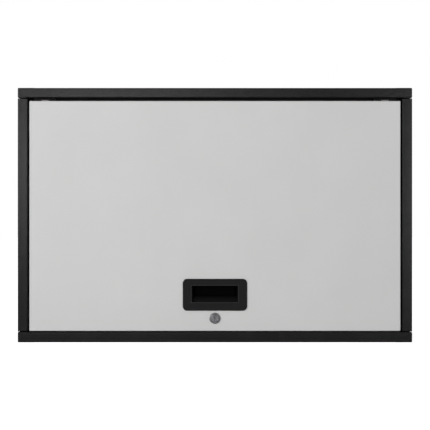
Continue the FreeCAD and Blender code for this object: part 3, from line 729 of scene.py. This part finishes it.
screwPiece("seamScrews", "body_screws", "cabinet", 2, screwHeads)
screwPiece("bracketScrewsLeft", "door_bracket_screws_left", "door", 1, screwHeads)
screwPiece("bracketScrewsRight", "door_bracket_screws_right", "door", 1, screwHeads)
print("screw heads made")


sidePanels = {
    "topSeam": 0.0019,       # dark seam over the front flange
    "bottomSeam": 0.0021,
    "cutBack": 0.0024,       # depth of the seam behind the front face
    "cutOut": 0.0010,        # how far the cutter passes the sheet
}


def seamCutter(low, high):
    shape = bmesh.new()
    bmesh.ops.create_cube(shape, size=1.0)
    bmesh.ops.scale(shape, vec=high - low, verts=shape.verts)
    bmesh.ops.translate(shape, vec=(low + high) / 2, verts=shape.verts)
    return addObject("seamCutter", meshFrom("seamCutter", shape))


def seamedPanel(name, node, sizes):
    # side panel whose front flange stops short of both trays, as the dark seams show
    low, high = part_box(node)
    out = sizes["cutOut"]
    left, right = low.x - out, high.x + out
    front, back = low.y - out, low.y + sizes["cutBack"]
    top = (left, front, high.z - sizes["topSeam"]), (right, back, high.z + out)
    bottom = (left, front, low.z - out), (right, back, low.z + sizes["bottomSeam"])
    piece = makePiece(name, cadCopy(node), [slotOf[node]], "cabinet", [node])
    cutters = [seamCutter(Vector(start), Vector(end)) for start, end in (top, bottom)]
    for cutter in cutters:
        modifier = piece.modifiers.new("seam", "BOOLEAN")
        modifier.operation = "DIFFERENCE"
        modifier.solver = "EXACT"
        modifier.object = cutter
    graph = bpy.context.evaluated_depsgraph_get()
    trimmed = bpy.data.meshes.new_from_object(piece.evaluated_get(graph))
    piece.modifiers.clear()
    piece.data = trimmed
    trimmed.set_sharp_from_angle(angle=meshing["crease"])
    for cutter in cutters:
        bpy.data.objects.remove(cutter)


seamedPanel("sideLeft", "side_panel_left", sidePanels)
seamedPanel("sideRight", "side_panel_right", sidePanels)
print("side panels trimmed at their seams")


lockFace = {
    "ring": (    # radius, and depth behind the front of the head
        (0.00600, 0.00060), (0.00612, 0.00020), (0.00650, 0.00004), (0.00700, 0.00000),
        (0.00728, 0.00022), (0.00760, 0.00030), (0.00800, 0.00018), (0.00860, 0.00022),
        (0.00925, 0.00050), (0.00962, 0.00095), (0.00980, 0.00160), (0.00980, 0.00250),
        (0.00600, 0.00250),
    ),
    "cut": 0.0001,    # behind the door's face, where the barrel takes over
}


def lockHousing(sizes):
    # stepped head in front of the CAD node's own barrel
    shape = cadCopy("lock_housing")
    bmesh.ops.bisect_plane(shape, geom=[*shape.verts, *shape.edges, *shape.faces],
                           dist=meshing["fineWeld"], plane_co=(0, doorFront + sizes["cut"], 0),
                           plane_no=(0, -1, 0), clear_outer=True)
    closeRims(shape, (0, -1, 0))
    for face in shape.faces:
        face.material_index = 1
    head = spun([*sizes["ring"], sizes["ring"][0]])
    bmesh.ops.recalc_face_normals(head, faces=head.faces)
    centre = Vector((0.0, lockLow.y, (lockLow.z + lockHigh.z) / 2))
    turn = Matrix.Translation(centre) @ Matrix.Rotation(-math.pi / 2, 4, "X")
    bmesh.ops.transform(head, matrix=turn, verts=head.verts)
    joinInto(shape, head)
    makePiece("lockHead", shape, ["lock_bright", "barrel_thread"], "door", ["lock_housing"])


lockHousing(lockFace)
print("lock head made")


white = rgb(1.0, 1.0, 1.0)

studio = {
    "floorReach": 14.0,
    "floorSides": 96,
    "floorColour": rgb(0.86, 0.86, 0.86),
    "floorLift": 0.80,       # plain white that a camera ray adds to the lit floor
    "skyLight": 0.34,        # fill that matt surfaces get from all round
    "roomLight": 0.12,       # what gloss sees on the camera's side of the studio
    "whiteFrom": (-0.75, -0.15),     # direction along Y from which the backdrop shows in gloss
    "floorWhiteFrom": (0.0, 0.6),    # the same for places on the floor
}


def buildFloor(room):
    shape = bmesh.new()
    bmesh.ops.create_circle(shape, cap_ends=True, segments=room["floorSides"],
                            radius=room["floorReach"])
    floor = addObject("floor", meshFrom("floor", shape))
    material, tree = newMaterial("floorPale")
    lift = tree.ray("Is Camera Ray") * room["floorLift"]
    lifted = tree.node("ShaderNodeEmission", {}, {"Color": white, "Strength": lift})
    matt = tree.node("ShaderNodeBsdfDiffuse", {}, {"Color": room["floorColour"]})
    seen = tree.node("ShaderNodeAddShader", {}, [matt, lifted])
    place = tree.along(tree.objectPoint(), "Y")
    level = tree.band(place, *room["floorWhiteFrom"], room["roomLight"], 1.0)
    mirrored = tree.node("ShaderNodeEmission", {}, {"Color": white, "Strength": level})
    mixed = tree.node("ShaderNodeMixShader", {}, [tree.mirrorRay(), seen, mirrored])
    tree.node("ShaderNodeOutputMaterial", {}, {"Surface": mixed})
    floor.data.materials.append(material)


def buildSky(room):
    world = bpy.data.worlds.new("studio")
    bpy.context.scene.world = world
    tree = Tree(world)
    direction = tree.node("ShaderNodeTexCoord", output="Generated")
    place = tree.along(direction, "Y")
    mirrored = tree.band(place, *room["whiteFrom"], room["roomLight"], 1.0)
    plain = room["skyLight"] + tree.mirrorRay() * (mirrored - room["skyLight"])
    level = plain + tree.ray("Is Camera Ray") * (1.0 - plain)
    sky = tree.node("ShaderNodeBackground", {}, {"Color": white, "Strength": level})
    tree.node("ShaderNodeOutputWorld", {}, {"Surface": sky})


lamps = {
    "keyBox": {"place": (-2.2, -2.3, 0.9), "size": (1.2, 1.4), "power": 39.5},
    # the two whose mirror images put the sheen on the black coat
    "sheenBox": {"place": (-0.46, -3.1, 0.465), "size": (0.85, 0.3), "power": 12.4},
    "fillBox": {"place": (1.03, -2.9, 0.38), "size": (0.5, 0.5), "power": 9.6},
    "topBox": {"place": (0.0, -0.6, 2.6), "size": (2.0, 1.4), "power": 4.0},
}


def buildLamps(boxes, target):
    for name, box in boxes.items():
        data = bpy.data.lights.new(name, "AREA")
        data.shape = "RECTANGLE"
        data.size, data.size_y = box["size"]
        data.energy = box["power"]
        lamp = addObject(name, data)
        place = Vector(box["place"])
        lamp.location = place
        lamp.rotation_euler = (target - place).to_track_quat("-Z", "Y").to_euler()


photo = {
    "frame": 430.0,          # side of the photograph's frame
    "cabinetWide": 394.6,    # width of the cabinet in it
    "cabinetMiddle": (214.95, 215.15),
    "distance": 3.0,         # from the lens to the front face
    "sensor": 36.0,
}


def buildCamera(shot):
    frontLow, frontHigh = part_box("bottom_panel")
    scale = shot["cabinetWide"] / (frontHigh.x - frontLow.x)
    data = bpy.data.cameras.new("camera")
    data.sensor_width = shot["sensor"]
    data.lens = data.sensor_width * scale * shot["distance"] / shot["frame"]
    camera = addObject("camera", data)
    middleX, middleY = shot["cabinetMiddle"]
    camera.location = (
        (frontLow.x + frontHigh.x) / 2 + (shot["frame"] / 2 - middleX) / scale,
        frontLow.y - shot["distance"],
        (cadLow.z + cadHigh.z) / 2 - (shot["frame"] / 2 - middleY) / scale,
    )
    camera.rotation_euler = (math.radians(90.0), 0.0, 0.0)    # level, square to the front
    bpy.context.scene.camera = camera


buildFloor(studio)
buildSky(studio)
buildLamps(lamps, (cadLow + cadHigh) / 2)
buildCamera(photo)
bpy.context.scene.view_settings.view_transform = "Standard"
print("stage, lamps and camera made")
